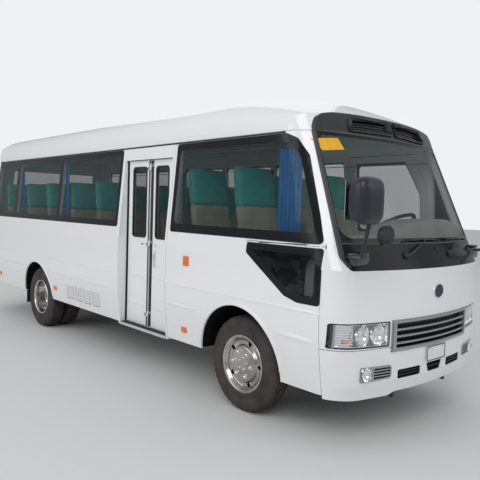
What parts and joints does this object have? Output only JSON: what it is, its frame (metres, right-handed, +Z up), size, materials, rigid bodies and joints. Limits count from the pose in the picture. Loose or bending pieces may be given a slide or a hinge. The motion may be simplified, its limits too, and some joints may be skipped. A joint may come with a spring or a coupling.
{
  "type": "minibus",
  "caption": "White passenger minibus with a folding kerb side door, dark side glazing, roof scoops over the windscreen and chrome wheels.",
  "frame": {"origin": "on the ground, at the middle of the overall box", "axes": "+Z up, the nose faces -Y, +Y runs to the tail, -X is the kerb side with the folding door"},
  "size_m": [2.428, 7.139, 2.635],
  "materials": {
    "body_white": "gloss",
    "trim_black": "gloss",
    "clear_glass": "clear",
    "dark_glass": "clear tinted",
    "grille_grey": "satin",
    "lamp_silver": "polished",
    "lens": "clear",
    "chrome": "polished",
    "plate_white": "satin",
    "emblem_blue": "gloss",
    "red_lens": "clear",
    "amber": "clear",
    "black_steel": "satin",
    "black_plastic": "fine grain",
    "mirror_face": "polished",
    "step_metal": "satin",
    "floor_grey": "mat",
    "cast_grey": "rough",
    "alloy_block": "cast",
    "rubber_black": "matt",
    "tyre_black": "matt",
    "seat_cloth": "woven",
    "dash_grey": "grained",
    "curtain_blue": "woven"
  },
  "bodies": {
    "body": {"side_panel_right": "body_white", "side_panel_left": "body_white", "roof_panel": "body_white", "front_panel": "body_white", "front_bumper": "body_white", "rear_panel": "body_white", "rear_bumper": "body_white", "door_surround": "body_white", "louvre_panel": "body_white", "cowl_panel": "trim_black", "roof_vent_panel": "trim_black", "windscreen": "clear_glass", "rear_window": "dark_glass", "windows_right": "dark_glass", "windows_left": "dark_glass", "grille": "grille_grey", "headlamp_housings": "lamp_silver", "headlamp_lenses": "lens", "fog_lamps": "chrome", "number_plates": "plate_white", "nose_emblem": "emblem_blue", "tail_lamps": "red_lens", "marker_lamps": "amber", "mirror_arms": "black_steel", "mirror_heads": "black_plastic", "mirror_glasses": "mirror_face", "step_well": "step_metal", "chassis_frame": "black_steel", "floor_pan": "floor_grey", "engine_block": "cast_grey", "driveline": "alloy_block", "fuel_tank": "black_steel", "front_axle_beam": "cast_grey", "rear_axle_housing": "cast_grey", "leaf_springs": "black_steel", "mud_flaps": "rubber_black", "passenger_seats": "seat_cloth", "driver_seat": "seat_cloth", "seat_frames": "black_steel", "dashboard": "dash_grey", "steering_column": "black_plastic", "curtains": "curtain_blue"},
    "door_rear_leaf": {"door_leaf_rear": "body_white", "door_glass_rear": "dark_glass"},
    "door_front_leaf": {"door_leaf_front": "body_white", "door_glass_front": "dark_glass"},
    "driver_door": {"driver_door": "body_white", "driver_door_glass": "dark_glass"},
    "rear_hatch": {"rear_hatch": "body_white"},
    "steering_wheel": {"steering_wheel": "black_plastic"},
    "steer_right": {"knuckle_right": "cast_grey"},
    "steer_left": {"knuckle_left": "cast_grey"},
    "front_wheel_right": {"tyre_front_right": "tyre_black", "wheel_front_right": "chrome"},
    "front_wheel_left": {"tyre_front_left": "tyre_black", "wheel_front_left": "chrome"},
    "rear_wheels_right": {"tyres_rear_right": "tyre_black", "wheels_rear_right": "chrome"},
    "rear_wheels_left": {"tyres_rear_left": "tyre_black", "wheels_rear_left": "chrome"}
  },
  "joints": [
    {"name": "folding_door", "type": "hinge", "parent": "body", "child": "door_rear_leaf", "pos_m": [-0.882, -0.454, 0.43], "axis": [0, 0, 1], "range_deg": [0, 75]},
    {"name": "folding_door_fold", "type": "hinge", "parent": "door_rear_leaf", "child": "door_front_leaf", "pos_m": [-0.914, -0.846, 0.54], "axis": [0, 0, -1], "range_deg": [0, 150]},
    {"name": "driver_door_hinge", "type": "hinge", "parent": "body", "child": "driver_door", "pos_m": [1.034, -2.75, 0.96], "axis": [0, 0, -1], "range_deg": [0, 65]},
    {"name": "rear_hatch_hinge", "type": "hinge", "parent": "body", "child": "rear_hatch", "pos_m": [0, 3.55, 1.338], "axis": [1, 0, 0], "range_deg": [0, 80]},
    {"name": "steer_right", "type": "hinge", "parent": "body", "child": "steer_right", "pos_m": [-0.7325, -2.25, 0.3875], "axis": [0, 0, 1], "range_deg": [-35, 35]},
    {"name": "steer_left", "type": "hinge", "parent": "body", "child": "steer_left", "pos_m": [0.7325, -2.25, 0.3875], "axis": [0, 0, 1], "range_deg": [-35, 35]},
    {"name": "steering_wheel_turn", "type": "hinge", "parent": "body", "child": "steering_wheel", "pos_m": [0.45, -2.71, 1.5], "axis": [0, 0.494, 0.8695], "range_deg": [-560, 560]},
    {"name": "front_wheel_right_roll", "type": "hinge", "parent": "steer_right", "child": "front_wheel_right", "pos_m": [-0.8325, -2.25, 0.3875], "axis": [1, 0, 0], "continuous": true},
    {"name": "front_wheel_left_roll", "type": "hinge", "parent": "steer_left", "child": "front_wheel_left", "pos_m": [0.8325, -2.25, 0.3875], "axis": [1, 0, 0], "continuous": true},
    {"name": "rear_wheels_right_roll", "type": "hinge", "parent": "body", "child": "rear_wheels_right", "pos_m": [-0.7425, 1.685, 0.3875], "axis": [1, 0, 0], "continuous": true},
    {"name": "rear_wheels_left_roll", "type": "hinge", "parent": "body", "child": "rear_wheels_left", "pos_m": [0.7425, 1.685, 0.3875], "axis": [1, 0, 0], "continuous": true}
  ],
  "couplings": [
    {"joint": "folding_door_fold", "follows": "folding_door", "ratio": 2},
    {"joint": "steer_left", "follows": "steer_right", "ratio": 1},
    {"joint": "steering_wheel_turn", "follows": "steer_right", "ratio": 16}
  ]
}
